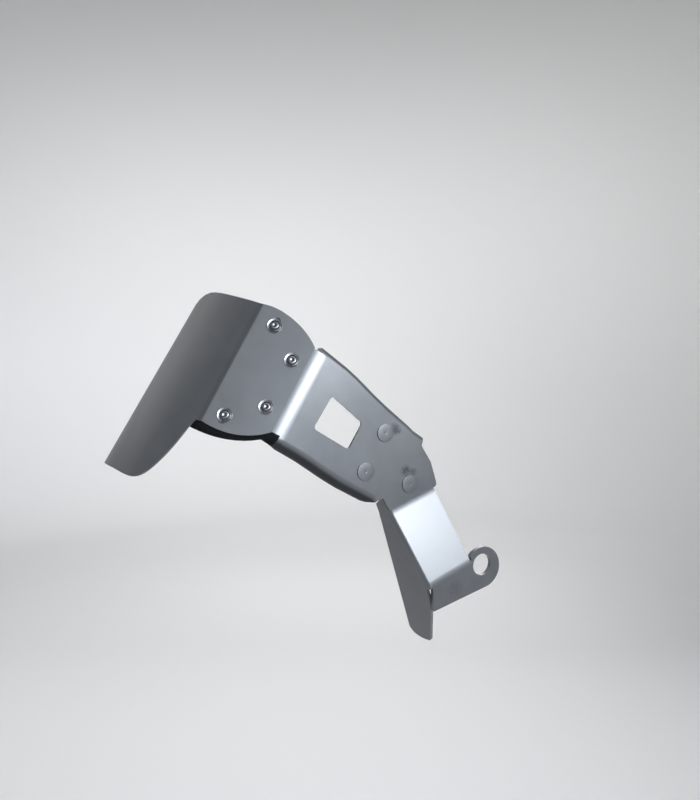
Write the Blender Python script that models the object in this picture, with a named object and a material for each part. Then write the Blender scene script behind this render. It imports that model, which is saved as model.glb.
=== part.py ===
"""Side-mounted rear fender for a motorcycle: axle bracket, arm, arched blade and fasteners.

Origin: centre of the axle hole on the inner face of the axle plate. X points outward along the
axle, Y to the front of the bike, Z up. Values are in millimetres and degrees; the scene is in
metres. Two sets of working axes are used: (u, v) run along the bracket's foot and up the bracket,
and (s, n) run across the arm and up the arm. All start at the axle.
"""
import math

import bmesh
import bpy
import numpy as np
from mathutils import Matrix, Vector

MM = 0.001
CLEAR = 0.3
ROUND = 24

# axle bracket
PLATE = 4.0
AXLE_HOLE = 21.0
AXLE_END_RADIUS = 20.0
AXLE_END_DROP = 3.1
FOOT_TILT = 20.0
FOOT_CORNER = (-65.0, -16.0)
STEP_IN = 20.8
STEP_START = 9.3
STEP_END = 83.5
STEP_BEND = 26.0
STEP_LEFT = (-62.2, -66.2)
STEP_RIGHT = (-11.4, -14.4)
RELIEF = 1.6
BACKING_OUTLINE = ((-100, 121.5), (12.6, 121.5), (13.5, 140), (14.5, 158), (20, 164.5), (60, 164.5), (71, 161),
                   (75.5, 152), (73.5, 134), (68.5, 112), (63, 98.5), (56, 88), (43.5, 73.5), (200, 73.5))
# side wing of the bracket
WING_FLARE = 15.0
WING_BEND = 4.4
WING_TOP = 98.0
WING_SHOULDER = 92.0
WING_BOTTOM = -53.4
WING_ROUND = 12.5
WING_REACH = (-31.7, -38.0)
WING_EDGE_LEAN = 20.0
WING_EDGE_AT = (0.9, -7.5)
WING_SLOPE_IN = 9.0
WING_TIP = 1.5

# arm
SHEET = 2.5
ARM_LEAN = 60.5
ARM_LOWER = ((60, 1.2), (144, 1.0), (166, 0.8), (190, 2.4), (213, 4.6), (250, 5.6))
ARM_UPPER = ((60, 77.9), (110, 80.1), (132, 83.9), (152, 87), (174, 91.1), (194, 95.8), (213, 99.4), (250, 103.4))
ARM_BEND = 26.0
ARM_BEND_AT = 241.4
ARM_BEND_RADIUS = 28.0
LOWER_ROLL = 10.5
ROLL_STARTS = (122.0, 131.0)
UPPER_ROLL = 5.0
FLANGE = 13.5
SLIT = 0.4
TAB_END = 77.0
TAB_FOLD = 64.0
TAB_FOLD_LEAN = 24.0
TAB_INSET = 2.2
LIP_START = 13.5
LIP_DROP = 7.6
LIP_WIDEST = 68.0
LIP_ROUND = 82.0
LIP_ROLL = 6.6
LIP_DEPTH = 8.5
ARM_END_UPPER = ((140, 109.5), (78, 109.5), (73.5, 108.7), (71.8, 106.5), (68, 99), (64, 91.4), (56, 82.6),
                 (50.5, 76.8), (48, 75), (45.5, 75.2))
ARM_END_LOWER = ((5.2, 109.8), (8, 115.3), (11.6, 121), (11.6, 123.4), (8.8, 125.3), (5.2, 127.5), (1.8, 134),
                 (0.8, 138), (-40, 138), (-40, 40), (140, 40))
WINDOW = ((69.8, 214.4), (62.6, 175.6), (35.4, 176.4), (36.4, 216.4))
WINDOW_ROUND = 3.2

# blade
BLADE = 2.0
BLADE_START = 7.3
BLADE_MIDDLE = 57.4
FLAT_HALF = 59.3
FLAT_WIDEST = 54.0
FLAT_ROUND = 64.6
FLAT_TOP_HALF = 57.3
FLAT_TOP_ROUND = 66.8
CREASE_REACH = 2.0
TOP_EASE = 1.3
TOP_EASE_FROM = 48.0
CREASE_AT = 65.5
ARCH_RADIUS = 124.5
ARCH_RISE = 0.018
ARCH_RISE_FROM = 20.0
WHEEL_MIDDLE = 124.0
ARCH_TOP = ((46, 112.6), (30, 112), (12, 112.6), (6, 112), (1, 109.8), (-8, 104), (-20, 94), (-31, 78), (-38, 58),
            (-41, 38))
ARCH_BOTTOM = ((46, -1), (41.6, -2), (39.3, -5), (37, -26), (34.9, -41), (32.2, -54.5), (29.6, -62.6),
               (26.2, -67.4), (21.5, -69.4), (12, -69.8), (-4, -71), (-22, -71), (-32, -64), (-38, -44), (-41, -14))

# fasteners
UPPER_SCREWS = ((46.8, 14.7), (19.8, 27.4))
LOWER_SCREWS = ((21.0, 26.9), (48.9, 13.4))
SLOT_TRAVEL = 5.2
SLOT_WAYS = (1, 0, 0, -1)
SCREW_SHANK = 5.0
SCREW_HEAD = 9.5
SCREW_HEAD_HIGH = 2.8
SOCKET = 3.2
SOCKET_DEEP = 1.7
SCREW_WASHER = 13.4
SCREW_NUT = 8.0
SCREW_NUT_HIGH = 3.2
STUDS = ((150.0, 65.6), (151.0, 25.6), (102.4, 35.6))
STUD_HEAD = 17.0
STUD_PROUD = 0.8
STUD_SHANK = 8.0
STUD_WASHER = 16.0
STUD_NUT = 13.0
STUD_NUT_HIGH = 5.5
WASHER = 1.1
HOLE_PLAY = 0.6
THREAD_END = 1.2

FACE = PLATE
BACKING_FACE = FACE - STEP_IN
ARM_INNER = BACKING_FACE + CLEAR
ARM_FACE = ARM_INNER + SHEET


def clear_scene():
    for old in list(bpy.data.objects):
        bpy.data.objects.remove(old)


def coat(name, colour, roughness, metallic):
    """Principled material with a plain colour."""
    mat = bpy.data.materials.new(name)
    mat.use_nodes = True
    node = mat.node_tree.nodes["Principled BSDF"]
    node.inputs["Base Color"].default_value = (*colour, 1.0)
    node.inputs["Roughness"].default_value = roughness
    node.inputs["Metallic"].default_value = metallic
    mat.diffuse_color = (*colour, 1.0)
    return mat


def build(name, points, faces, mat=None):
    """Object from points in millimetres, with its faces turned outward."""
    mesh = bpy.data.meshes.new(name)
    mesh.from_pydata((np.asarray(points) * MM).tolist(), [], faces)
    work = bmesh.new()
    work.from_mesh(mesh)
    bmesh.ops.recalc_face_normals(work, faces=work.faces)
    work.to_mesh(mesh)
    work.free()
    obj = bpy.data.objects.new(name, mesh)
    bpy.context.collection.objects.link(obj)
    if mat:
        mesh.materials.append(mat)
    return obj


def on_axes(lean, x, a, b):
    """Point at x outward, a along and b up a pair of axes leaned back about the axle."""
    c = math.cos(math.radians(lean))
    d = math.sin(math.radians(lean))
    x, a, b = np.broadcast_arrays(np.asarray(x, float), np.asarray(a, float), np.asarray(b, float))
    return np.stack([x, a * c - b * d, a * d + b * c], axis=-1)


def on_foot(x, u, v):
    return on_axes(FOOT_TILT, x, u, v)


def on_arm(x, s, n):
    return on_axes(ARM_LEAN, x, s, n)


def sheet(name, outer, inner, keep, mat):
    """Closed solid between two grids of points; cells that aren't kept leave a real edge."""
    rows, cols = keep.shape
    wide = cols + 1
    count = (rows + 1) * wide
    faces = []
    for i, j in zip(*np.nonzero(keep)):
        a = i * wide + j
        b, c, d = a + 1, a + wide + 1, a + wide
        faces.append((a, b, c, d))
        faces.append((a + count, d + count, c + count, b + count))
        if i == 0 or not keep[i - 1, j]:
            faces.append((a, a + count, b + count, b))
        if i == rows - 1 or not keep[i + 1, j]:
            faces.append((d, c, c + count, d + count))
        if j == 0 or not keep[i, j - 1]:
            faces.append((a, d, d + count, a + count))
        if j == cols - 1 or not keep[i, j + 1]:
            faces.append((b, b + count, c + count, c))
    used, faces = np.unique(np.array(faces), return_inverse=True)
    points = np.concatenate([outer.reshape(-1, 3), inner.reshape(-1, 3)])[used]
    return build(name, points, faces.reshape(-1, 4).tolist(), mat)


def prism(place, outline, x0, x1):
    """Straight-sided cutter with a given outline, from x0 to x1 outward."""
    count = len(outline)
    a, b = np.array(outline, float).T
    points = np.concatenate([place(x0, a, b), place(x1, a, b)])
    faces = [tuple(range(count)), tuple(range(2 * count - 1, count - 1, -1))]
    faces += [(k, (k + 1) % count, (k + 1) % count + count, k + count) for k in range(count)]
    return build("cutter", points, faces)


def cut(obj, cutter):
    """Take a cutter's volume out of an object and drop the cutter."""
    mod = obj.modifiers.new("cut", "BOOLEAN")
    mod.operation = "DIFFERENCE"
    mod.solver = "EXACT"
    mod.object = cutter
    graph = bpy.context.evaluated_depsgraph_get()
    obj.data = bpy.data.meshes.new_from_object(obj.evaluated_get(graph))
    obj.modifiers.clear()
    bpy.data.objects.remove(cutter)


def ring(radius, count=40):
    """Circle as an outline."""
    t = np.arange(count) * 2 * math.pi / count
    return list(zip(radius * np.cos(t), radius * np.sin(t)))


def rounded(corners, radius, steps=6):
    """Outline with its corners rounded by arcs."""
    corners = [np.array(c, float) for c in corners]
    out = []
    for k, p in enumerate(corners):
        a = corners[k - 1] - p
        b = corners[(k + 1) % len(corners)] - p
        a /= np.linalg.norm(a)
        b /= np.linalg.norm(b)
        half = math.acos(float(a @ b)) / 2
        centre = p + (a + b) / np.linalg.norm(a + b) * radius / math.sin(half)
        start = p + a * radius / math.tan(half) - centre
        end = p + b * radius / math.tan(half) - centre
        t0 = math.atan2(start[1], start[0])
        sweep = (math.atan2(end[1], end[0]) - t0 + math.pi) % (2 * math.pi) - math.pi
        t = t0 + sweep * np.arange(steps + 1) / steps
        out += list(zip(centre[0] + radius * np.cos(t), centre[1] + radius * np.sin(t)))
    return out


def through(points, steps=6):
    """Smooth curve through points."""
    p = np.array(points, float)
    p = np.concatenate([[2 * p[0] - p[1]], p, [2 * p[-1] - p[-2]]])
    t = (np.arange(steps) / steps)[:, None]
    parts = []
    for a, b, c, d in zip(p, p[1:], p[2:], p[3:]):
        parts.append(b + 0.5 * t * (c - a + t * (2 * a - 5 * b + 4 * c - d + t * (3 * (b - c) + d - a))))
    return np.concatenate(parts + [p[-2:-1]])


def turned(name, rings, matrix, mat, loop=False, count=ROUND):
    """Body of rings round local Z; a ring is (radius, height) and may vary round the turn."""
    t = np.arange(count) * 2 * math.pi / count
    r = np.array([np.broadcast_to(a, (count,)) for a, b in rings])
    h = np.array([np.broadcast_to(b, (count,)) for a, b in rings])
    points = np.stack([r * np.cos(t), r * np.sin(t), h], axis=-1).reshape(-1, 3)
    total = len(rings)
    faces = []
    for k in range(total if loop else total - 1):
        a = k * count
        b = (k + 1) % total * count
        faces += [(a + i, a + (i + 1) % count, b + (i + 1) % count, b + i) for i in range(count)]
    if not loop:
        faces.append(tuple(range(count)))
        faces.append(tuple(range(total * count - 1, (total - 1) * count - 1, -1)))
    world = np.array(matrix)
    return build(name, points @ world[:3, :3].T + world[:3, 3], faces, mat)


def hexagon(flats, count=ROUND):
    """Radius of a hexagon round the turn."""
    t = np.arange(count) * 2 * math.pi / count
    return flats / 2 / np.cos((t + math.pi / 6) % (math.pi / 3) - math.pi / 6)


def stand(point, normal):
    """Matrix that puts local Z along a normal at a point, with local X across the arm."""
    z = Vector(normal).normalized()
    x = Vector(on_arm(0, 1, 0))
    y = z.cross(x)
    base = Matrix((x, y, z)).transposed().to_4x4()
    base.translation = Vector(point)
    return base


def nut(name, matrix, flats, high, bore, mat):
    """Hexagon nut with chamfered corners and a countersunk bore."""
    rim = hexagon(flats)
    face = flats / 2 * 0.95
    drop = (rim - face) * math.tan(math.radians(30))
    sink = 0.3
    rings = [(bore / 2, sink), (bore / 2 + sink, 0), (face, 0), (rim, drop), (rim, high - drop), (face, high),
             (bore / 2 + sink, high), (bore / 2, high - sink)]
    return turned(name, rings, matrix, mat, loop=True)


def washer(name, matrix, outer, bore, mat):
    edge = 0.2
    rings = [(bore / 2, 0), (outer / 2 - edge, 0), (outer / 2, edge), (outer / 2, WASHER - edge),
             (outer / 2 - edge, WASHER), (bore / 2, WASHER)]
    return turned(name, rings, matrix, mat, loop=True)


def bracket_profile(v):
    """Outer face and lean of the bracket at a height v, with both bends rounded."""
    slope = math.atan2(STEP_IN, STEP_END - STEP_START)
    half = STEP_BEND * math.tan(slope / 2)
    span = STEP_BEND * math.sin(slope)
    up = v - (STEP_START - half)
    down = STEP_END + half - v
    if up <= 0:
        return FACE, 0.0
    if up < span:
        t = math.asin(up / STEP_BEND)
        return FACE - STEP_BEND * (1 - math.cos(t)), t
    if down <= 0:
        return BACKING_FACE, 0.0
    if down < span:
        t = math.asin(down / STEP_BEND)
        return BACKING_FACE + STEP_BEND * (1 - math.cos(t)), t
    return FACE - math.tan(slope) * (v - STEP_START), slope


def wing_span(v):
    """Outer and inner edge of the wing at a height v, as x."""
    lean = math.tan(math.radians(WING_EDGE_LEAN))
    outer = min(-0.6, WING_EDGE_AT[0] + (v - WING_EDGE_AT[1]) * lean)
    low = WING_BOTTOM + WING_ROUND
    inner = np.interp(v, (low, WING_SHOULDER), WING_REACH[::-1])
    if v < low:
        rise = math.sqrt(max(0.0, 1 - ((low - v) / WING_ROUND) ** 2))
        tip = WING_EDGE_AT[0] + (WING_BOTTOM - WING_EDGE_AT[1]) * lean - WING_TIP
        inner = tip + (inner - tip) * rise
    if v > WING_SHOULDER:
        inner += (v - WING_SHOULDER) / (WING_TOP - WING_SHOULDER) * WING_SLOPE_IN
    return outer, float(inner)


def axle_bracket(mat):
    """Folded plate: foot on the axle, step inward, backing plate under the arm, and a side wing."""
    slope = math.atan2(STEP_IN, STEP_END - STEP_START)
    half = STEP_BEND * math.tan(slope / 2)
    span = STEP_BEND * math.sin(slope)
    bend_low = STEP_START - half
    bend_high = STEP_END + half
    spare = AXLE_END_RADIUS + 4
    foot_low = -AXLE_END_DROP - spare
    backing_low = WING_TOP + 3
    lobe_top = spare
    bend = span * np.sin(np.arange(9) / 8 * math.pi / 2)
    relief_low = bend_low + bend[3]
    levels = [WING_BOTTOM + WING_ROUND * (1 - math.cos(k * math.pi / 16)) for k in range(1, 9)]
    levels += [-34, foot_low, FOOT_CORNER[1], -6, bend_low - 1.5, *(bend_low + bend), lobe_top, 50, 70]
    levels += [*(bend_high - bend)[::-1], WING_SHOULDER, 95, WING_TOP, backing_low, 130, 175]
    flare = math.radians(WING_FLARE)
    turn = math.pi / 2 - flare
    reach = WING_BEND * math.tan(turn / 2)
    wing_cols = 4
    arc_cols = 5
    rows = []
    for v in levels:
        x, lean = bracket_profile(v)
        share = (v - STEP_START) / (STEP_END - STEP_START)
        line_x = FACE - STEP_IN * share if v < bend_high - span else x
        left = STEP_LEFT[0] + (STEP_LEFT[1] - STEP_LEFT[0]) * share
        right = np.interp(share, (0, 1), STEP_RIGHT)
        outer_x, inner_x = wing_span(v)
        start = reach if v >= bend_low else (line_x - outer_x) / math.cos(flare)
        end = (line_x - inner_x) / math.cos(flare)
        w = end + (start - end) * np.arange(wing_cols) / wing_cols
        wing = [(line_x - a * math.cos(flare), left - a * math.sin(flare)) for a in w]
        normal = [(math.sin(flare), -math.cos(flare))] * wing_cols
        t = turn * (1 - np.arange(arc_cols + 1) / arc_cols)
        if v < bend_low:
            last = (line_x - start * math.cos(flare), left - start * math.sin(flare))
            arc = [last] * arc_cols + [(FACE, np.interp(v, (FOOT_CORNER[1], bend_low), (FOOT_CORNER[0], left + reach)))]
            bow = [(math.sin(flare), -math.cos(flare))] * arc_cols + [(1, 0)]
        else:
            arc = [(line_x - WING_BEND * (1 - math.cos(a)), left + reach - WING_BEND * math.sin(a)) for a in t]
            arc[-1] = (x, left + reach)
            bow = [(math.cos(a), -math.sin(a)) for a in t]
            bow[-1] = (1 / math.cos(lean), 0)
        if v >= backing_low:
            spread = np.linspace(-100, left + reach, wing_cols + arc_cols + 1)
            wing = [(x, a) for a in spread[:wing_cols]]
            arc = [(x, a) for a in spread[wing_cols:]]
            normal = [(1, 0)] * wing_cols
            bow = [(1, 0)] * (arc_cols + 1)
        flat = [(x, a) for a in np.linspace(left + reach, right, 4)[1:]]
        lobe = [(FACE, a) for a in (STEP_RIGHT[0] + RELIEF, 8, spare)]
        outer = np.array(wing + arc + flat + lobe)
        back = np.array(normal + bow + [(1 / math.cos(lean), 0)] * 3 + [(1, 0)] * 3) * PLATE
        rows.append((outer, outer - back, v))
    cols = wing_cols + arc_cols
    low = np.array(levels[:-1])[:, None]
    high = np.array(levels[1:])[:, None]
    col = np.arange(len(rows[0][0]) - 1)[None, :]
    hair = 1e-6
    keep = (col < wing_cols) & (high <= WING_TOP + hair)
    keep |= (col >= wing_cols) & (col < cols) & (low >= bend_low - hair) & (high <= WING_TOP + hair)
    keep |= (col < cols) & (low >= backing_low - hair)
    keep |= (col >= cols) & (col < cols + 3) & (low >= foot_low - hair)
    keep |= (col >= cols + 3) & (low >= foot_low - hair) & (high <= relief_low + hair)
    keep |= (col >= cols + 4) & (low >= relief_low - hair) & (high <= lobe_top + hair)
    outer = np.array([on_foot(a[:, 0], a[:, 1], v) for a, b, v in rows])
    inner = np.array([on_foot(b[:, 0], b[:, 1], v) for a, b, v in rows])
    obj = sheet("axle_bracket", outer, inner, keep, mat)
    cut(obj, prism(on_foot, foot_outline(), -0.4, FACE + 1))
    top = [*BACKING_OUTLINE, (200, 300), (-100, 300)]
    cut(obj, prism(on_arm, top, BACKING_FACE - PLATE - 1, BACKING_FACE + 0.2))
    cut(obj, prism(on_foot, ring(AXLE_HOLE / 2, 64), -1, FACE + 1))
    for n, s in STUDS:
        hole = [(s + a, n + b) for a, b in ring((STUD_SHANK + HOLE_PLAY) / 2)]
        cut(obj, prism(on_arm, hole, BACKING_FACE - PLATE - 1, BACKING_FACE + 1))
    return obj


def foot_outline():
    """What is cut away below the foot and round its end: the lower edge runs on into the round end."""
    gap = math.hypot(FOOT_CORNER[0], FOOT_CORNER[1] + AXLE_END_DROP)
    bearing = math.atan2(FOOT_CORNER[1] + AXLE_END_DROP, FOOT_CORNER[0])
    touch = bearing + math.acos(AXLE_END_RADIUS / gap)
    slit = STEP_RIGHT[0] + RELIEF
    stop = math.acos(slit / AXLE_END_RADIUS)
    t = np.linspace(touch, stop + 2 * math.pi if stop < touch else stop, 40)
    edge = list(zip(AXLE_END_RADIUS * np.cos(t), AXLE_END_RADIUS * np.sin(t) - AXLE_END_DROP))
    far = AXLE_END_RADIUS + 40
    return [(-far - 40, FOOT_CORNER[1]), FOOT_CORNER, *edge, (slit, far), (far, far), (far, -far), (-far - 40, -far)]


def rolled(low, high, low_roll, high_roll, low_deep, deep, steps=6):
    """Section across a sheet with rolled edges: place across and depth, for both faces."""
    t = np.arange(steps + 1) / steps * math.pi / 2
    out, back = [], []
    for grow, faces in ((0.0, out), (SHEET, back)):
        r0 = low_roll - grow
        r1 = high_roll - grow
        faces.append((low + grow, low_deep))
        faces += [(low + low_roll - r0 * math.cos(a), low_roll - r0 * math.sin(a)) for a in t]
        inner = np.linspace(low + low_roll + SLIT, high - high_roll - SLIT, 4)
        faces += [(a, grow) for a in inner]
        faces += [(high - high_roll + r1 * math.sin(a), high_roll - r1 * math.cos(a)) for a in t]
        faces.append((high - grow, deep))
    return np.array(out), np.array(back)


def tab_point(q, s, deep):
    """Point on the arm's bent tab or the blade's flat: q from the bend line, deep below its face."""
    t = math.radians(ARM_BEND)
    return on_arm(ARM_FACE - q * math.sin(t) - deep * math.cos(t), s, ARM_BEND_AT + q * math.cos(t) - deep * math.sin(t))


def bow(q, half, widest, long):
    """Half width at q of an elliptical outline that is widest at one place."""
    return half * np.sqrt(1 - ((widest - q) / long) ** 2)


def flat_low(q):
    return BLADE_MIDDLE - bow(q, FLAT_HALF, FLAT_WIDEST, FLAT_ROUND)


def flat_high(q):
    return BLADE_MIDDLE + bow(q, FLAT_TOP_HALF, FLAT_WIDEST, FLAT_TOP_ROUND)


def screw_places():
    """Places of the fender screws, each a distance in from the flat's edge."""
    return [(q, flat_high(q) - a) for q, a in UPPER_SCREWS] + [(q, flat_low(q) + a) for q, a in LOWER_SCREWS]


def lip_low(q):
    """Lowest line of the lip that shows below the blade's flat."""
    return BLADE_MIDDLE - bow(q, FLAT_HALF + LIP_DROP, LIP_WIDEST, LIP_ROUND)


def blend(share, start, end):
    return start + (end - start) * share


def arm(mat):
    """Pressed arm: rolled edges, a window, and a tab bent inward under the blade.

    The lower edge is formed round the bend and runs on as the lip; the upper edge stops there.
    """
    sweep = math.radians(ARM_BEND)
    half = ARM_BEND_RADIUS * math.tan(sweep / 2)
    bend_start = ARM_BEND_AT - half
    run = ARM_BEND_RADIUS * sweep + LIP_START - half
    steps = 6
    upper_rows = 3
    straight = [60, ROLL_STARTS[0], *np.linspace(ROLL_STARTS[1], bend_start, 10)]
    tab = [half + 2.0, *np.linspace(LIP_START, TAB_FOLD, 9), (TAB_FOLD + TAB_END) / 2, TAB_END]
    low_n, low_s = through(ARM_LOWER).T
    high_n, high_s = through(ARM_UPPER).T
    outer, inner = [], []
    arc = np.arange(1, steps + 1) / steps * sweep
    reach = [*straight, *(bend_start + ARM_BEND_RADIUS * arc)]
    cols = len(rolled(0, 100, LOWER_ROLL, UPPER_ROLL, FLANGE, FLANGE)[0])
    side = 7
    formed = cols - side - 1
    for k, n in enumerate(reach):
        turn = 0.0 if k < len(straight) else arc[k - len(straight)]
        share = ARM_BEND_RADIUS * turn / run
        low = blend(share, np.interp(min(n, bend_start), low_n, low_s), lip_low(LIP_START))
        roll = blend(share, np.interp(n, ROLL_STARTS, (SHEET + CLEAR, LOWER_ROLL)), LIP_ROLL)
        deep = blend(share, np.interp(n, ROLL_STARTS, (SHEET + 2 * CLEAR, FLANGE)), LIP_DEPTH)
        high = np.interp(n, high_n, high_s)
        for section, faces in zip(rolled(low, high, roll, UPPER_ROLL, deep, FLANGE), (outer, inner)):
            p = on_arm(ARM_FACE - section[:, 1], section[:, 0], n)
            r = ARM_BEND_RADIUS - section[:formed, 1]
            s = section[:formed, 0]
            wide = blend(turn / sweep, s[-1], flat_high(BLADE_START) - 2 * CLEAR)
            s[side + 1:] = np.linspace(s[side + 1], wide, formed - side - 1)
            x = ARM_FACE - ARM_BEND_RADIUS + r * math.cos(turn)
            p[:formed] = on_arm(x, s, min(n, bend_start) + r * math.sin(turn))
            faces.append(p)
    for q in tab:
        share = min(1.0, (run + q - LIP_START) / run)
        low = blend(share, np.interp(bend_start, low_n, low_s), lip_low(max(q, LIP_START)))
        roll = blend(share, LOWER_ROLL, LIP_ROLL)
        deep = blend(share, FLANGE, LIP_DEPTH)
        high = flat_high(q) - TAB_INSET + UPPER_ROLL + SLIT
        sink = max(0.0, q - TAB_FOLD) * math.tan(math.radians(TAB_FOLD_LEAN))
        for section, faces in zip(rolled(low, high, roll, UPPER_ROLL, deep, LIP_DEPTH), (outer, inner)):
            faces.append(tab_point(q, section[:, 0], section[:, 1] + sink))
    total = len(outer) - 1
    keep = np.ones((total, cols - 1), bool)
    bent = len(straight) - 1
    keep[bent:, cols - 2 - side] = False
    keep[bent + upper_rows:, cols - 1 - side:] = False
    obj = sheet("arm", np.array(outer), np.array(inner), keep, mat)
    cut(obj, prism(on_arm, [*ARM_END_UPPER, *ARM_END_LOWER], ARM_FACE - 40, ARM_FACE + 1))
    cut(obj, prism(on_arm, rounded(WINDOW, WINDOW_ROUND), ARM_INNER - 1, ARM_FACE + 1))
    for n, s in STUDS:
        hole = [(s + a, n + b) for a, b in ring((STUD_SHANK + HOLE_PLAY) / 2)]
        cut(obj, prism(on_arm, hole, ARM_INNER - 1, ARM_FACE + 1))
    for q, s in screw_places():
        cut(obj, screw_hole(q, s, 0.0, -1.0, SHEET + 1.0))
    return obj


def screw_hole(q, s, travel, top, bottom):
    """Cutter for a screw's hole, or for a slot that runs on across the arm to one side of the screw."""
    radius = (SCREW_SHANK + HOLE_PLAY) / 2
    outline = [(a + travel if a * travel > 0 else a, b) for a, b in ring(radius, 24)]
    a, b = np.array(outline).T
    count = len(outline)
    points = np.concatenate([tab_point(q + b, s + a, top), tab_point(q + b, s + a, bottom)])
    faces = [tuple(range(count)), tuple(range(2 * count - 1, count - 1, -1))]
    faces += [(k, (k + 1) % count, (k + 1) % count + count, k + count) for k in range(count)]
    return build("cutter", points, faces)


def blade_path():
    """Where the blade's flat meets the arch, in the plane across the arm: (x, n)."""
    t = math.radians(ARM_BEND)
    along = np.array([-math.sin(t), math.cos(t)])
    out = np.array([math.cos(t), math.sin(t)])
    start = np.array([ARM_FACE, ARM_BEND_AT]) + out * (BLADE + CLEAR)
    corner = start + along * CREASE_AT
    rise = math.sqrt(ARCH_RADIUS ** 2 - (corner[0] + WHEEL_MIDDLE) ** 2)
    centre = np.array([-WHEEL_MIDDLE, corner[1] - rise])
    theta = math.atan2(*(corner - centre))
    return start, along, out, centre, theta


def blade(mat):
    """Rolled sheet: a flat that screws to the tab, a soft crease, and an arch over the tyre."""
    start, along, out, centre, theta = blade_path()
    rows = []
    for q in BLADE_START + (CREASE_AT - CREASE_REACH - BLADE_START) * np.linspace(0, 1, 22) ** 1.5:
        ease = TOP_EASE * max(0.0, (q - TOP_EASE_FROM) / (CREASE_AT - TOP_EASE_FROM)) ** 2
        rows.append((start + along * q, out, flat_low(q), flat_high(q) - ease, 0.0))
    bottom = through(ARCH_BOTTOM, 3)
    top = through(ARCH_TOP, 4)
    turn = np.radians(bottom[:, 0])
    first = theta - CREASE_REACH / ARCH_RADIUS
    corner = start + along * CREASE_AT
    after = centre + ARCH_RADIUS * np.array([math.sin(first), math.cos(first)])
    for k in (0.25, 0.5, 0.75):
        point = (1 - k) ** 2 * rows[21][0] + 2 * k * (1 - k) * corner + k ** 2 * after
        normal = out * (1 - k) + np.array([math.sin(first), math.cos(first)]) * k
        angle = math.degrees(first)
        low = np.interp(angle, bottom[::-1, 0], bottom[::-1, 1]) * k + rows[21][2] * (1 - k)
        high = np.interp(angle, top[::-1, 0], top[::-1, 1]) * k + rows[21][3] * (1 - k)
        rows.append((point, normal / np.linalg.norm(normal), low, high, 0.0))
    angles = [first, *turn[turn < first - 0.004]]
    for t in angles:
        normal = np.array([math.sin(t), math.cos(t)])
        low = np.interp(math.degrees(t), bottom[::-1, 0], bottom[::-1, 1])
        high = np.interp(math.degrees(t), top[::-1, 0], top[::-1, 1])
        ease = np.clip((theta - t) / math.radians(20), 0, 1)
        rows.append((centre + ARCH_RADIUS * normal, normal, low, high, ARCH_RISE * ease ** 2 * (3 - 2 * ease)))
    outer, inner = [], []
    for point, normal, low, high, rise in rows:
        s = np.linspace(low, high, 4)
        lift = rise * (ARCH_RISE_FROM - s)
        outer.append(on_arm(point[0], s, point[1] + lift))
        inner.append(on_arm(point[0] - BLADE * normal[0], s, point[1] + lift - BLADE * normal[1]))
    keep = np.ones((len(rows) - 1, 3), bool)
    obj = sheet("fender_blade", np.array(outer), np.array(inner), keep, mat)
    for (q, s), way in zip(screw_places(), SLOT_WAYS):
        cut(obj, screw_hole(q, s, SLOT_TRAVEL * way, -BLADE - CLEAR - 1, -CLEAR + 0.2))
    return obj


def fender_screws(steel, plain):
    """Four button screws through blade and tab, each with a washer outside and a nut inside."""
    seat = BLADE + 2 * CLEAR
    under = SHEET + CLEAR
    for k, (q, s) in enumerate(screw_places(), 1):
        face = tab_point(q, s, 0.0)
        normal = tab_point(q, s, -1.0) - face
        outer = stand(face + normal * seat, normal)
        washer(f"fender_washer_{k}", outer, SCREW_WASHER, SCREW_SHANK + HOLE_PLAY, steel)
        long = seat + WASHER + CLEAR + under + SCREW_NUT_HIGH + THREAD_END
        screw(f"fender_screw_{k}", stand(face + normal * (seat + WASHER + CLEAR), normal), long, steel)
        inside = stand(face - normal * (under + SCREW_NUT_HIGH), normal)
        nut(f"fender_nut_{k}", inside, SCREW_NUT, SCREW_NUT_HIGH, SCREW_SHANK + HOLE_PLAY, plain)


def screw(name, matrix, long, mat):
    """Button-head screw with a hexagon socket; local Z = 0 is under the head."""
    r = SCREW_SHANK / 2
    rim = SCREW_HEAD / 2
    flat = SOCKET / 2 + 0.9
    dome = [(flat + (rim - flat) * math.cos(a), 0.9 + (SCREW_HEAD_HIGH - 0.9) * math.sin(a))
            for a in np.radians((0, 20, 40, 60, 78, 90))]
    rings = [(r - 0.5, -long), (r, 0.5 - long), (r, 0), (rim - 0.2, 0), (rim, 0.2), *dome]
    rings += [(hexagon(SOCKET), SCREW_HEAD_HIGH - 0.15), (hexagon(SOCKET), SCREW_HEAD_HIGH - SOCKET_DEEP)]
    turned(name, rings, matrix, mat)


def arm_studs(coated, plain):
    """Three flush studs that clamp the arm to the backing plate, with washers and nuts inside."""
    under = SHEET + CLEAR + PLATE + CLEAR
    for k, (n, s) in enumerate(STUDS, 1):
        out = (1, 0, 0)
        edge = 0.3
        r = STUD_SHANK / 2
        long = CLEAR + under + WASHER + CLEAR + STUD_NUT_HIGH + THREAD_END
        rings = [(r - 0.7, -long), (r, 0.7 - long), (r, 0), (STUD_HEAD / 2 - edge, 0), (STUD_HEAD / 2, edge),
                 (STUD_HEAD / 2, STUD_PROUD - edge), (STUD_HEAD / 2 - edge, STUD_PROUD), (1.0, STUD_PROUD)]
        turned(f"arm_stud_{k}", rings, stand(on_arm(ARM_FACE + CLEAR, s, n), out), coated)
        washer(f"arm_washer_{k}", stand(on_arm(ARM_FACE - under - WASHER, s, n), out), STUD_WASHER,
               STUD_SHANK + HOLE_PLAY, plain)
        low = ARM_FACE - under - WASHER - CLEAR - STUD_NUT_HIGH
        nut(f"arm_nut_{k}", stand(on_arm(low, s, n), out), STUD_NUT, STUD_NUT_HIGH, STUD_SHANK + HOLE_PLAY, plain)


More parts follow.
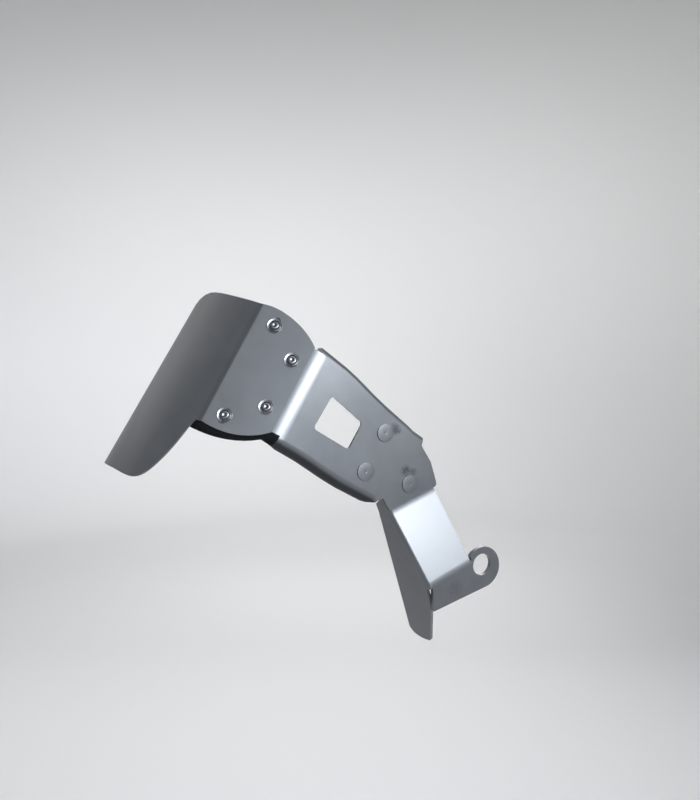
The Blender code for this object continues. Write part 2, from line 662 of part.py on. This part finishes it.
def main():
    clear_scene()
    black = coat("satin_black_coat", (0.042, 0.044, 0.048), 0.42, 0.0)
    shell = coat("satin_grey_coat", (0.052, 0.053, 0.057), 0.45, 0.0)
    steel = coat("stainless_steel", (0.56, 0.56, 0.55), 0.3, 1.0)
    zinc = coat("zinc_plated_steel", (0.5, 0.51, 0.52), 0.36, 1.0)
    axle_bracket(black)
    arm(black)
    blade(shell)
    fender_screws(steel, zinc)
    arm_studs(black, zinc)
    for obj in bpy.data.objects:
        obj.data.shade_smooth()
        obj.data.set_sharp_from_angle(angle=math.radians(30))


main()
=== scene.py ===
import math

import bmesh
import bpy
import numpy as np
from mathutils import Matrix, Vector


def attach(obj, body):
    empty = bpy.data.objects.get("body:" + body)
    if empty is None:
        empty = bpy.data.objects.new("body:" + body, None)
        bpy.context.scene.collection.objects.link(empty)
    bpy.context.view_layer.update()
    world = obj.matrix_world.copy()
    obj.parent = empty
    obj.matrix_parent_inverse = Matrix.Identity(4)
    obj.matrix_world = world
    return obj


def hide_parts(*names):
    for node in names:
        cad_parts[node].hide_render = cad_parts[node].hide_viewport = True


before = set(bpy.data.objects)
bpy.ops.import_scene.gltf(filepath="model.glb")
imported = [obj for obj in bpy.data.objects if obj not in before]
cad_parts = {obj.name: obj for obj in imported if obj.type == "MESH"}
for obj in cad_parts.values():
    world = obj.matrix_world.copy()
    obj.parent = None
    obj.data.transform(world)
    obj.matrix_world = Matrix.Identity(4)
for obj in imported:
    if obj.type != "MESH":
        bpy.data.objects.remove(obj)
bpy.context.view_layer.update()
print("frame loaded:", len(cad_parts), "parts")

mm = 0.001
leanOfArm = math.radians(60.5)      # the arm leans back from the front by this much
bendOfTab = math.radians(26.0)      # the blade's flat is bent inward by this much
acrossArm = np.array([0.0, math.cos(leanOfArm), math.sin(leanOfArm)])
upArm = np.array([0.0, -math.sin(leanOfArm), math.cos(leanOfArm)])
outOfArm = np.array([1.0, 0.0, 0.0])
outOfFlat = outOfArm * math.cos(bendOfTab) + upArm * math.sin(bendOfTab)


# camera: a portrait frame seen from behind the axle's right side, a little above it
cameraSettings = {
    "place": (0.5365, -0.4221, 0.1975),
    "looksAlong": (-0.885, 0.462, -0.057),
    "lens": 31.5,       # with a 36 mm sensor along the frame's long side
    "sensor": 36.0,
}


def addCamera(settings):
    data = bpy.data.cameras.new("camera")
    data.lens = settings["lens"]
    data.sensor_width = settings["sensor"]
    data.clip_start = 0.01
    data.clip_end = 20.0
    camera = bpy.data.objects.new("camera", data)
    camera.location = settings["place"]
    camera.rotation_mode = "QUATERNION"
    camera.rotation_quaternion = Vector(settings["looksAlong"]).to_track_quat("-Z", "Y")
    bpy.context.scene.collection.objects.link(camera)
    bpy.context.scene.camera = camera


addCamera(cameraSettings)
print("camera placed")


# one output of a shader node; sums and products of outputs are written as plain sums
class Wire:
    def __init__(self, tree, socket):
        self.tree = tree
        self.socket = socket

    def calc(self, operation, first, second=None):
        node = self.tree.nodes.new("ShaderNodeMath")
        node.operation = operation
        for place, value in enumerate((first, second)):
            if isinstance(value, Wire):
                self.tree.links.new(value.socket, node.inputs[place])
            elif value is not None:
                node.inputs[place].default_value = value
        return Wire(self.tree, node.outputs[0])

    def __add__(self, other):
        return self.calc("ADD", self, other)

    def __radd__(self, other):
        return self.calc("ADD", other, self)

    def __sub__(self, other):
        return self.calc("SUBTRACT", self, other)

    def __rsub__(self, other):
        return self.calc("SUBTRACT", other, self)

    def __mul__(self, other):
        return self.calc("MULTIPLY", self, other)

    def __rmul__(self, other):
        return self.calc("MULTIPLY", other, self)

    def __truediv__(self, other):
        return self.calc("DIVIDE", self, other)

    def __pow__(self, other):
        return self.calc("POWER", self, other)

    def atLeast(self, other):
        return self.calc("MAXIMUM", self, other)

    def clipped(self):
        return self.calc("MINIMUM", self.calc("MAXIMUM", self, 0.0), 1.0)


# one material while it is being made
class Finish:
    def __init__(self, name):
        self.material = bpy.data.materials.new(name)
        self.material.use_nodes = True
        self.tree = self.material.node_tree
        self.shader = self.tree.nodes["Principled BSDF"]
        self.place = self.make("ShaderNodeTexCoord", {}, {}, "Object")

    def make(self, kind, settings, sockets, output):
        node = self.tree.nodes.new(kind)
        for key, value in settings.items():
            setattr(node, key, value)
        for key, value in sockets.items():
            if isinstance(value, Wire):
                self.tree.links.new(value.socket, node.inputs[key])
            else:
                node.inputs[key].default_value = value
        return Wire(self.tree, node.outputs[output])

    def noise(self, scale, detail=2.0, roughness=0.5, place=None):
        sockets = {"Vector": place or self.place, "Scale": scale, "Detail": detail, "Roughness": roughness}
        return self.make("ShaderNodeTexNoise", {}, sockets, "Fac")

    def blend(self, share, low, high):
        sockets = {0: share, 6: (*low, 1.0) if not isinstance(low, Wire) else low}
        sockets[7] = (*high, 1.0) if not isinstance(high, Wire) else high
        return self.make("ShaderNodeMix", {"data_type": "RGBA"}, sockets, 2)

    def spot(self, centre, size):
        # 1 at the centre, 0 at the given size away from it
        sockets = {0: self.place, 1: centre}
        far = self.make("ShaderNodeVectorMath", {"operation": "DISTANCE"}, sockets, "Value")
        return (1.0 - far / size).clipped()

    def along(self, way):
        # distance along a direction from the origin, in millimetres
        sockets = {0: self.place, 1: tuple(way)}
        return self.make("ShaderNodeVectorMath", {"operation": "DOT_PRODUCT"}, sockets, "Value") / mm

    def facing(self, way):
        # 1 on faces that look along a direction, 0 on faces that stand beside it
        normal = self.make("ShaderNodeTexCoord", {}, {}, "Normal")
        sockets = {0: normal, 1: tuple(way)}
        share = self.make("ShaderNodeVectorMath", {"operation": "DOT_PRODUCT"}, sockets, "Value")
        return share * share

    def bump(self, height, strength, distance):
        sockets = {"Height": height, "Strength": strength, "Distance": distance}
        return self.make("ShaderNodeBump", {}, sockets, "Normal")

    def set(self, **values):
        for key, value in values.items():
            socket = self.shader.inputs[key.replace("_", " ")]
            if isinstance(value, Wire):
                self.tree.links.new(value.socket, socket)
            else:
                socket.default_value = value
        return self.material

    def cover(self, mask, **values):
        # a second finish laid over the first where the mask is 1
        sockets = {key.replace("_", " "): value for key, value in values.items()}
        second = self.make("ShaderNodeBsdfPrincipled", {}, sockets, "BSDF")
        first = Wire(self.tree, self.shader.outputs["BSDF"])
        both = self.make("ShaderNodeMixShader", {}, {0: mask, 1: first, 2: second}, "Shader")
        self.tree.links.new(both.socket, self.tree.nodes["Material Output"].inputs["Surface"])


# powder coat: dark grey with a sheen, very fine orange peel, and a few faint rubbed places
coatSettings = {
    "dark": (0.110, 0.116, 0.127),
    "light": (0.140, 0.147, 0.160),
    "metallic": 0.6,
    "roughness": 0.33,
    "roughnessSpread": 0.07,
    "broadScale": 16.0,
    "cloudScale": 70.0,
    "peelScale": 1500.0,
    "peelDepth": 0.012 * mm,
    "grainScale": 5200.0,
    "markScale": 300.0,
    "markDark": 0.22,         # share of the dark colour that a rubbed place keeps
    "markRough": 0.16,
    "coat": 0.35,
    "coatRoughness": 0.3,
    "specular": 0.5,
}


# the blade's own coat is duller and a little greyer
bladeCoatSettings = dict(
    coatSettings,
    dark=(0.090, 0.095, 0.103),
    light=(0.118, 0.125, 0.136),
    metallic=0.45,
    roughness=0.43,
    coat=0.1,
    specular=0.35,
)


def powderCoat(name, settings, rubbed=(), paintedShadeMaker=None, creaseShade=None):
    finish = Finish(name)
    broad = finish.noise(settings["broadScale"], 3.0)
    cloud = finish.noise(settings["cloudScale"], 4.0, 0.6)
    peel = finish.noise(settings["peelScale"], 1.5)
    grain = finish.noise(settings["grainScale"], 1.0)
    tone = (broad * 0.6 + cloud * 0.4 - 0.25) * 2.0
    colour = finish.blend(tone.clipped(), settings["dark"], settings["light"])
    rough = settings["roughness"] + settings["roughnessSpread"] * (broad + cloud + grain - 1.5)
    for centre, size, strength in rubbed:
        solid = (finish.spot(centre, size) * 1.8).clipped()
        mark = solid * (finish.noise(settings["markScale"], 4.0, 0.7) * 3.0 - 0.75).clipped()
        worn = tuple(settings["markDark"] * c for c in settings["dark"])
        colour = finish.blend((mark * strength).clipped(), colour, worn)
        rough = rough + mark * strength * settings["markRough"]
    # painted shade: a darker band across the blade just past its crease
    if creaseShade:
        low, high = creaseShade["across"]
        across = finish.along((-math.sin(creaseShade["lean"]), *(upArm * math.cos(creaseShade["lean"]))[1:]))
        band = ((across - low) / creaseShade["soft"]).clipped() * ((high - across) / (high - low)).clipped()
        shade = tuple(creaseShade["dark"] * c for c in settings["dark"])
        colour = finish.blend(band * creaseShade["depth"], colour, shade)
    normal = finish.bump(peel * 0.75 + grain * 0.25, 1.0, settings["peelDepth"])
    # painted shade: a matt black finish laid over the coat on the lip and the arm's lower rolled edge
    if paintedShadeMaker:
        finish.cover(paintedShadeMaker(finish), Normal=normal, **paintedShadeFinish)
    return finish.set(
        Base_Color=colour,
        Roughness=rough.clipped(),
        Metallic=settings["metallic"],
        Coat_Weight=settings["coat"],
        Coat_Roughness=settings["coatRoughness"],
        Specular_IOR_Level=settings["specular"],
        Normal=normal,
    )


# fasteners: dark stainless steel outside, zinc-plated steel inside
ringSteelSettings = {
    "dark": (0.20, 0.21, 0.23),
    "light": (0.28, 0.29, 0.31),
    "roughness": 0.30,
    "mottle": 300.0,
    "lines": 2600.0,
}
screwSteelSettings = dict(
    ringSteelSettings, dark=(0.12, 0.12, 0.13), light=(0.19, 0.19, 0.20), roughness=0.22)
zincSettings = dict(
    ringSteelSettings, dark=(0.42, 0.44, 0.46), light=(0.60, 0.61, 0.63), roughness=0.34, lines=900.0)


def brightMetal(name, settings):
    finish = Finish(name)
    mottle = finish.noise(settings["mottle"], 4.0, 0.6)
    lines = finish.noise(settings["lines"], 2.0)
    colour = finish.blend((mottle * 1.6 - 0.3).clipped(), settings["dark"], settings["light"])
    rough = settings["roughness"] + (mottle - 0.5) * 0.14 + (lines - 0.5) * 0.08
    return finish.set(
        Base_Color=colour,
        Roughness=rough.clipped(),
        Metallic=1.0,
        Normal=finish.bump(lines, 0.6, 0.006 * mm),
    )


# painted shade: the lip under the blade, which lies in shade, is painted matt black: all that is past the
# middle of the arm's bend and below the edge of the flat; the arm's lower rolled edge, which faces down into
# shade, is painted nearly as dark
paintedShadeFinish = {"Base_Color": (0.005, 0.006, 0.007, 1.0), "Roughness": 0.75, "Specular_IOR_Level": 0.08}
paintedShadePlace = {
    "bendMiddle": 240.6,      # up the arm
    "bendLine": 241.4,
    "faceAt": -14.0,          # the arm's outer face
    "flat": {"middle": 57.4, "half": 59.3, "widest": 54.0, "long": 64.6, "from": 7.3},
    "under": 0.6,
    "soft": 0.5,
    "rolled": {
        "from": -14.1,        # starts just under the arm's outer face
        "over": 0.8,
        "turned": 0.94,       # squared cosine off the outer face where the dark starts
        "full": 0.70,         # and where it is full
        "reach": 10.0,
        "share": 0.8,
    },
}


def paintedShadeMask(finish):
    # 1 where the lip's painted shade is, less where the lower rolled edge's painted shade is; the edge of the
    # flat is a half ellipse along the tab
    place, flat = paintedShadePlace, paintedShadePlace["flat"]
    across, up, outward = (finish.along(way) for way in (acrossArm, upArm, outOfArm))
    tab = (up - place["bendLine"]) * math.cos(bendOfTab) - (outward - place["faceAt"]) * math.sin(bendOfTab)
    away = (flat["widest"] - tab.atLeast(flat["from"])) / flat["long"]
    edge = flat["middle"] + place["under"] - (1.0 - away * away).atLeast(0.0) ** 0.5 * flat["half"]
    past = ((up - place["bendMiddle"]) / place["soft"]).clipped()
    rolled = place["rolled"]
    beside = ((rolled["turned"] - finish.facing(outOfArm)) / (rolled["turned"] - rolled["full"])).clipped()
    lower = ((flat["middle"] - across) / rolled["reach"]).clipped()
    deep = ((rolled["from"] - outward) / rolled["over"]).clipped()
    # painted shade on the arm's lower rolled edge, where it turns down away from the outer face
    rolledEdgeShade = deep * beside * lower * (1.0 - past) * rolled["share"]
    return (past * ((edge - across) / place["soft"]).clipped()).atLeast(rolledEdgeShade)


# painted shade: the blade's colour is darkened in a band just past its crease, where the fold lies in shade
creasePaintedShade = {"lean": bendOfTab, "across": (286.6, 293.0), "soft": 1.5, "dark": 0.35, "depth": 0.6}
armMarks = (
    ((-0.014, -0.0890, 0.1362), 0.0050, 0.6),
    ((-0.014, -0.0862, 0.1330), 0.0060, 1.0),
    ((-0.014, -0.0758, 0.0944), 0.0065, 1.0),
    ((-0.014, -0.0680, 0.0929), 0.0050, 0.7),
)
footMarks = (((0.004, -0.0318, -0.0200), 0.011, 0.35),)
# the arm's coat carries the painted shade of its lip and lower rolled edge
armCoat = powderCoat("armCoat", coatSettings, armMarks, paintedShadeMask)
plateCoat = powderCoat("plateCoat", coatSettings, footMarks)
bladeCoat = powderCoat("bladeCoat", bladeCoatSettings, creaseShade=creasePaintedShade)
ringSteel = brightMetal("ringSteel", ringSteelSettings)
screwSteel = brightMetal("screwSteel", screwSteelSettings)
zinc = brightMetal("zincPlate", zincSettings)
print("materials made")


# sheet parts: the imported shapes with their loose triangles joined, flats made whole, edges eased
sheetSettings = {
    "join": 0.002 * mm,
    "flat": 0.25,        # degrees between faces that count as one flat
    "sharp": 38.0,       # degrees between faces that make an edge
    "ease": 0.32 * mm,
    "steps": 2,
    "shadeSharp": 50.0,
    "flatWeight": 80,
}


def nodePoints(name):
    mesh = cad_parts[name].data
    points = np.empty(len(mesh.vertices) * 3, np.float32)
    mesh.vertices.foreach_get("co", points)
    corners = np.empty(len(mesh.loops), np.int32)
    mesh.loops.foreach_get("vertex_index", corners)
    return points.reshape(-1, 3), corners.reshape(-1, 3)


def easedSheet(name, node, material, settings):
    points, triangles = nodePoints(node)
    mesh = bpy.data.meshes.new(name)
    mesh.from_pydata(points.tolist(), [], triangles.tolist())
    work = bmesh.new()
    work.from_mesh(mesh)
    bmesh.ops.remove_doubles(work, verts=work.verts, dist=settings["join"])
    bmesh.ops.dissolve_limit(
        work,
        angle_limit=math.radians(settings["flat"]),
        verts=work.verts,
        edges=work.edges,
        use_dissolve_boundaries=False,
    )
    least = math.radians(settings["sharp"])
    sharp = [e for e in work.edges if e.is_manifold and e.calc_face_angle(0.0) > least]
    bmesh.ops.bevel(
        work,
        geom=sharp,
        offset=settings["ease"],
        offset_type="OFFSET",
        segments=settings["steps"],
        profile=0.5,
        affect="EDGES",
        clamp_overlap=True,
    )
    work.to_mesh(mesh)
    work.free()
    mesh.shade_smooth()
    mesh.set_sharp_from_angle(angle=math.radians(settings["shadeSharp"]))
    piece = bpy.data.objects.new(name, mesh)
    bpy.context.scene.collection.objects.link(piece)
    mesh.materials.append(material)
    soft = piece.modifiers.new("faceWeights", "WEIGHTED_NORMAL")
    soft.keep_sharp = True
    soft.weight = settings["flatWeight"]
    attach(piece, "root")
    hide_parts(node)
    return piece


easedSheet("axleBracket", "axle_bracket", plateCoat, sheetSettings)
easedSheet("fenderArm", "arm", armCoat, sheetSettings)
easedSheet("fenderBlade", "fender_blade", bladeCoat, sheetSettings)
print("sheet parts dressed")

# fasteners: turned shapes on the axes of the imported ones
roundSteps = 72
roundSharp = 34.0       # degrees between faces that shade as an edge


class Seat:
    # where a fastener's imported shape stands: its axis, its ends along the axis, and its widest radius
    def __init__(self, node, axis):
        points = np.unique(np.round(nodePoints(node)[0].astype(float), 6), axis=0)
        along = points @ axis
        self.axis = axis
        self.middle = points.mean(axis=0) - axis * along.mean()
        self.low = along.min()
        self.high = along.max()
        self.radius = np.linalg.norm(points - self.middle - np.outer(along, axis), axis=1).max()


def turned(name, node, seat, radius, height, material, ringShut=False):
    # rings of (radius, height) turned about the seat's axis; both may vary round the turn
    # the ends close at a pole, or onto each other where ringShut is set
    radius, height = np.broadcast_arrays(np.asarray(radius, float), np.asarray(height, float))
    rings = radius.shape[0]
    turn = np.arange(roundSteps) * 2 * math.pi / roundSteps
    side = np.cross(seat.axis, acrossArm)
    ways = np.outer(np.cos(turn), acrossArm) + np.outer(np.sin(turn), side)
    points = seat.middle + radius[..., None] * ways + height[..., None] * seat.axis
    points = points.reshape(-1, 3)
    last = rings if ringShut else rings - 1
    i, j = np.meshgrid(np.arange(last), np.arange(roundSteps), indexing="ij")
    a = i * roundSteps + j
    b = i * roundSteps + (j + 1) % roundSteps
    above = (i + 1) % rings * roundSteps
    faces = np.stack([a, b, above + (j + 1) % roundSteps, above + j], axis=-1).reshape(-1, 4).tolist()
    if not ringShut:
        count = len(points)
        ends = [seat.middle + seat.axis * height[0].mean(), seat.middle + seat.axis * height[-1].mean()]
        points = np.concatenate([points, ends])
        top = (rings - 1) * roundSteps
        faces += [[(k + 1) % roundSteps, k, count] for k in range(roundSteps)]
        faces += [[top + k, top + (k + 1) % roundSteps, count + 1] for k in range(roundSteps)]
    mesh = bpy.data.meshes.new(name)
    mesh.from_pydata(points.tolist(), [], faces)
    work = bmesh.new()
    work.from_mesh(mesh)
    bmesh.ops.recalc_face_normals(work, faces=work.faces)
    work.to_mesh(mesh)
    work.free()
    mesh.shade_smooth()
    mesh.set_sharp_from_angle(angle=math.radians(roundSharp))
    mesh.materials.append(material)
    piece = bpy.data.objects.new(name, mesh)
    bpy.context.scene.collection.objects.link(piece)
    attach(piece, "root")
    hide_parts(node)
    return piece


def rings(*corners):
    # radius and height columns of a profile given in millimetres
    profile = np.array(corners, float) * mm
    return profile[:, :1], profile[:, 1:]


def eased(corner, before, after, size, steps=4):
    # a corner of a profile rounded by a short curve that starts and ends at the given distance from it
    corner, before, after = (np.array(p, float) for p in (corner, before, after))
    start = corner + (before - corner) / np.linalg.norm(before - corner) * size
    end = corner + (after - corner) / np.linalg.norm(after - corner) * size
    t = np.linspace(0, 1, steps)[:, None]
    return ((1 - t) ** 2 * start + 2 * t * (1 - t) * corner + t ** 2 * end).tolist()


def easedProfile(corners, sizes):
    # every corner of a profile eased by its own size; 0 leaves it as it is
    out = []
    for k, (corner, size) in enumerate(zip(corners, sizes)):
        before, after = corners[k - 1], corners[(k + 1) % len(corners)]
        out += eased(corner, before, after, size) if size else [corner]
    return rings(*out)


def hexRadius(flats, cornerEase):
    # distance from the axis to a hexagon of a given width over its flats, with its corners cut round
    turn = np.arange(roundSteps) * 2 * math.pi / roundSteps
    reach = flats / 2 / np.cos((turn + math.pi / 6) % (math.pi / 3) - math.pi / 6)
    return np.minimum(reach, flats / math.sqrt(3) - cornerEase)


def threaded(radius, low, high, pitch, depth):
    # a thread: the radius dips with a triangle wave of the height less the turn's share of the pitch
    turn = np.arange(roundSteps) / roundSteps
    count = int((high - low) / pitch * 8)
    height = np.linspace(low, high, count)[:, None]
    wave = np.abs(((height / pitch - turn) % 1.0) * 2 - 1)
    fade = np.clip((height - low) / pitch, 0, 1) * np.clip((high - height) / pitch, 0, 1)
    start = np.clip(1 - (height - low) / (0.8 * pitch), 0, 1) * depth * 1.2
    return radius - depth * fade * (1 - wave) - start, np.broadcast_to(height, wave.shape)


screwSettings = {
    "shank": 2.5,
    "pitch": 0.8,
    "threadDepth": 0.42,
    "neck": 1.2,
    "headRadius": 4.6,
    "headEase": 0.2,
    "headGap": 0.08,        # between the head and its ring
    "skirt": 0.9,
    "flatRadius": 2.9,
    "socket": 3.3,
    "socketDeep": 1.7,
    "socketPoint": 0.35,    # depth and share of the width of the cone at the socket's end
    "socketSink": 0.28,
    "ringRadius": 6.55,
    "ringHigh": 1.05,
    "ringSeat": 0.55,
    "dishRadius": 4.85,
    "bore": 2.85,
}
hexCornerEase = 0.12        # millimetres off a hexagon's corners


def cupRing(number, settings):
    # dished ring under a screw head: its upper face slopes in from a raised rim
    seat = Seat(f"fender_washer_{number}", outOfFlat)
    rim, high, floor, bore = (settings[k] for k in ("ringRadius", "ringHigh", "ringSeat", "bore"))
    dish = settings["dishRadius"]
    corners = [(bore, 0), (rim, 0), (rim, high), (rim - 0.2, high), (dish, floor), (bore, floor)]
    radius, height = easedProfile(corners, (0.1, 0.15, 0.1, 0.08, 0.15, 0.1))
    turned(
        f"fenderRing{number}", f"fender_washer_{number}", seat, radius, height + seat.low, ringSteel,
        ringShut=True)
    return seat.low


def buttonScrew(number, settings, ringLow):
    # from the tip up: thread, plain neck, domed head, hexagon socket
    seat = Seat(f"fender_screw_{number}", outOfFlat)
    head = ringLow + (settings["ringSeat"] + settings["headGap"]) * mm
    top = seat.high
    r, rim, ease = settings["shank"] * mm, settings["headRadius"] * mm, settings["headEase"] * mm
    neck = head - settings["neck"] * mm
    threadR, threadH = threaded(r, seat.low, neck, settings["pitch"] * mm, settings["threadDepth"] * mm)
    t = np.linspace(0, math.pi / 2, 9)
    skirt = settings["skirt"] * mm
    flat = settings["flatRadius"] * mm
    point = settings["socketPoint"]
    domeR = flat + (rim - flat) * np.cos(t)
    domeH = head + skirt + (top - head - skirt) * np.sin(t)
    socket = hexRadius(settings["socket"] * mm, hexCornerEase * mm)
    parts = [
        (threadR, threadH),
        (r, head),
        (rim - ease, head),
        (rim, head + ease),
        (domeR[:, None], domeH[:, None]),
        (socket + settings["socketSink"] * mm, top),
        (socket, top - ease),
        (socket, top - settings["socketDeep"] * mm),
        (socket * point, top - (settings["socketDeep"] + point) * mm),
    ]
    wide = [np.broadcast_to(np.atleast_2d(a), (np.atleast_2d(a).shape[0], roundSteps)) for a, b in parts]
    high = [np.broadcast_to(np.atleast_2d(b), (w.shape[0], roundSteps)) for w, (a, b) in zip(wide, parts)]
    turned(
        f"fenderScrew{number}", f"fender_screw_{number}", seat, np.concatenate(wide), np.concatenate(high),
        screwSteel)


nutSettings = {"face": 0.95, "chamfer": 28.0, "sink": 0.35}


def hexNut(name, node, axis, flats, bore, settings):
    # hexagon nut: both ends chamfered to a circle, the bore countersunk
    seat = Seat(node, axis)
    outside = hexRadius(flats * mm, hexCornerEase * mm)
    face = flats / 2 * settings["face"] * mm
    drop = (outside - face) * math.tan(math.radians(settings["chamfer"]))
    hole, sink = bore / 2 * mm, settings["sink"] * mm
    low, high = seat.low, seat.high
    radius = [hole, hole + sink, face, outside, outside, face, hole + sink, hole]
    height = [low + sink, low, low, low + drop, high - drop, high, high, high - sink]
    radius = np.stack([np.broadcast_to(r, (roundSteps,)) for r in radius])
    height = np.stack([np.broadcast_to(h, (roundSteps,)) for h in height])
    turned(name, node, seat, radius, height, zinc, ringShut=True)


studSettings = {
    "head": 8.5,
    "headHigh": 0.8,
    "edge": 0.28,
    "dimple": 1.6,
    "dimpleDeep": 0.12,
    "shank": 4.0,
    "neck": 7.5,
    "pitch": 1.25,
    "threadDepth": 0.6,
}


def clampStud(number, settings):
    # from the tip up: thread, neck, flat disc head with an eased rim and a faint dimple
    node = f"arm_stud_{number}"
    seat = Seat(node, outOfArm)
    top = seat.high
    under = top - settings["headHigh"] * mm
    r, rim, edge = settings["shank"] * mm, settings["head"] * mm, settings["edge"] * mm
    neck = under - settings["neck"] * mm
    threadR, threadH = threaded(r, seat.low, neck, settings["pitch"] * mm, settings["threadDepth"] * mm)
    t = np.linspace(0, math.pi / 2, 6)
    dimple = np.linspace(1, 0.05, 7)
    lowered = settings["dimpleDeep"] * mm * (1 + np.cos(math.pi * dimple)) / 2
    faces = np.array([[r, under], [rim, under]])
    roundR, roundH = rim - edge + edge * np.cos(t), top - edge + edge * np.sin(t)
    dishR, dishH = settings["dimple"] * mm * dimple, top - lowered
    radius = np.concatenate([faces[:, 0], roundR, dishR])[:, None]
    height = np.concatenate([faces[:, 1], roundH, dishH])[:, None]
    radius = np.concatenate([threadR, np.broadcast_to(radius, (len(radius), roundSteps))])
    height = np.concatenate([threadH, np.broadcast_to(height, (len(height), roundSteps))])
    turned(f"armStud{number}", node, seat, radius, height, armCoat)


washerSettings = {"bore": 4.3, "radius": 8.0}


def plainRing(number, settings):
    # flat washer with eased edges
    node = f"arm_washer_{number}"
    seat = Seat(node, outOfArm)
    thick = (seat.high - seat.low) / mm
    bore, rim = settings["bore"], settings["radius"]
    corners = [(bore, 0), (rim, 0), (rim, thick), (bore, thick)]
    radius, height = easedProfile(corners, (0.1, 0.2, 0.2, 0.1))
    turned(
        f"armRing{number}", node, seat, radius, height + seat.low, zinc, ringShut=True)


for number in (1, 2, 3, 4):
    ringLow = cupRing(number, screwSettings)
    buttonScrew(number, screwSettings, ringLow)
    hexNut(f"fenderNut{number}", f"fender_nut_{number}", outOfFlat, 8.0, 5.6, nutSettings)
for number in (1, 2, 3):
    clampStud(number, studSettings)
    plainRing(number, washerSettings)
    hexNut(f"armNut{number}", f"arm_nut_{number}", outOfArm, 13.0, 8.6, nutSettings)
print("fasteners turned")


# stage: a round pale floor that turns up into a wall all round
stageSettings = {
    "floor": -0.32,
    "radius": 1.6,
    "curve": 0.5,
    "curveSteps": 24,
    "wall": 2.8,
    "turnSteps": 96,
    "colour": (0.90, 0.90, 0.90),
    "roughness": 0.9,
}


def addStage(settings):
    # a profile (distance, height) turned about the vertical: flat, a quarter round, then straight up
    steps = settings["turnSteps"]
    t = np.linspace(0, math.pi / 2, settings["curveSteps"])
    far = np.concatenate([[0.001, 0.3, 0.8], settings["radius"] + settings["curve"] * np.sin(t)])
    high = np.concatenate([[0, 0, 0], settings["curve"] * (1 - np.cos(t))])
    far = np.append(far, far[-1])
    high = np.append(high, high[-1] + settings["wall"])
    turn = np.arange(steps) * 2 * math.pi / steps
    x = far[:, None] * np.cos(turn)
    y = far[:, None] * np.sin(turn)
    z = np.broadcast_to(high[:, None] + settings["floor"], x.shape)
    points = np.stack([x, y, z], axis=-1).reshape(-1, 3)
    i, j = np.meshgrid(np.arange(len(far) - 1), np.arange(steps), indexing="ij")
    a = i * steps + j
    b = i * steps + (j + 1) % steps
    faces = np.stack([a, b, b + steps, a + steps], axis=-1).reshape(-1, 4).tolist()
    faces += [[(k + 1) % steps, k, len(points)] for k in range(steps)]
    mesh = bpy.data.meshes.new("studioFloor")
    mesh.from_pydata([*points.tolist(), [0.0, 0.0, settings["floor"]]], [], faces)
    mesh.shade_smooth()
    floor = bpy.data.objects.new("studioFloor", mesh)
    bpy.context.scene.collection.objects.link(floor)
    paint = Finish("studioPaint")
    mesh.materials.append(paint.set(Base_Color=(*settings["colour"], 1.0), Roughness=settings["roughness"]))


addStage(stageSettings)


# lights: a long bright soft box to the right with a wider dim one round it, one high behind the blade, a weak
# one that faces the part from the back, and one that only faces the wall
lightSettings = {
    "keyLight": {
        "place": (1.12, 0.03, 0.41),
        "faces": (-0.965, -0.098, -0.253),
        "size": (1.10, 0.40),
        "power": 3.4,
        "spread": 64,
        "colour": (0.95, 0.98, 1.0),
    },
    "wideLight": {
        "place": (1.16, -0.08, 0.41),
        "faces": (-0.970, -0.008, -0.246),
        "size": (1.5, 1.1),
        "power": 2.9,
        "spread": 80,
        "colour": (0.84, 0.93, 1.0),
    },
    "topLight": {
        "place": (-0.85, -0.80, 0.80),
        "faces": (0.62, 0.56, -0.55),
        "size": (0.9, 0.9),
        "power": 2.3,
        "spread": 180,
        "colour": (1.0, 0.99, 0.97),
    },
    "backLight": {
        "place": (-1.14, 0.44, 0.53),
        "faces": (0.86, -0.42, -0.34),
        "size": (0.9, 0.9),
        "power": 2.4,
        "spread": 110,
        "colour": (1.0, 0.99, 0.97),
    },
    "wallLight": {
        "place": (-0.75, 0.40, 0.80),
        "faces": (-0.885, 0.462, -0.25),
        "size": (1.3, 0.5),
        "power": 8.0,
        "spread": 180,
        "colour": (1.0, 1.0, 1.0),
    },
}
worldColour = (0.12, 0.12, 0.123)


def addLight(name, settings):
    data = bpy.data.lights.new(name, "AREA")
    data.shape = "RECTANGLE"
    data.size, data.size_y = settings["size"]
    data.energy = settings["power"]
    data.color = settings["colour"]
    data.spread = math.radians(settings["spread"])
    light = bpy.data.objects.new(name, data)
    light.location = settings["place"]
    light.rotation_mode = "QUATERNION"
    light.rotation_quaternion = Vector(settings["faces"]).to_track_quat("-Z", "Y")
    light.visible_camera = False
    bpy.context.scene.collection.objects.link(light)


def addWorld(colour):
    world = bpy.data.worlds.new("studio")
    world.use_nodes = True
    world.node_tree.nodes["Background"].inputs["Color"].default_value = (*colour, 1.0)
    world.node_tree.nodes["Background"].inputs["Strength"].default_value = 1.0
    bpy.context.scene.world = world


for name, settings in lightSettings.items():
    addLight(name, settings)
addWorld(worldColour)
bpy.context.scene.view_settings.view_transform = "Standard"
print("lights set")
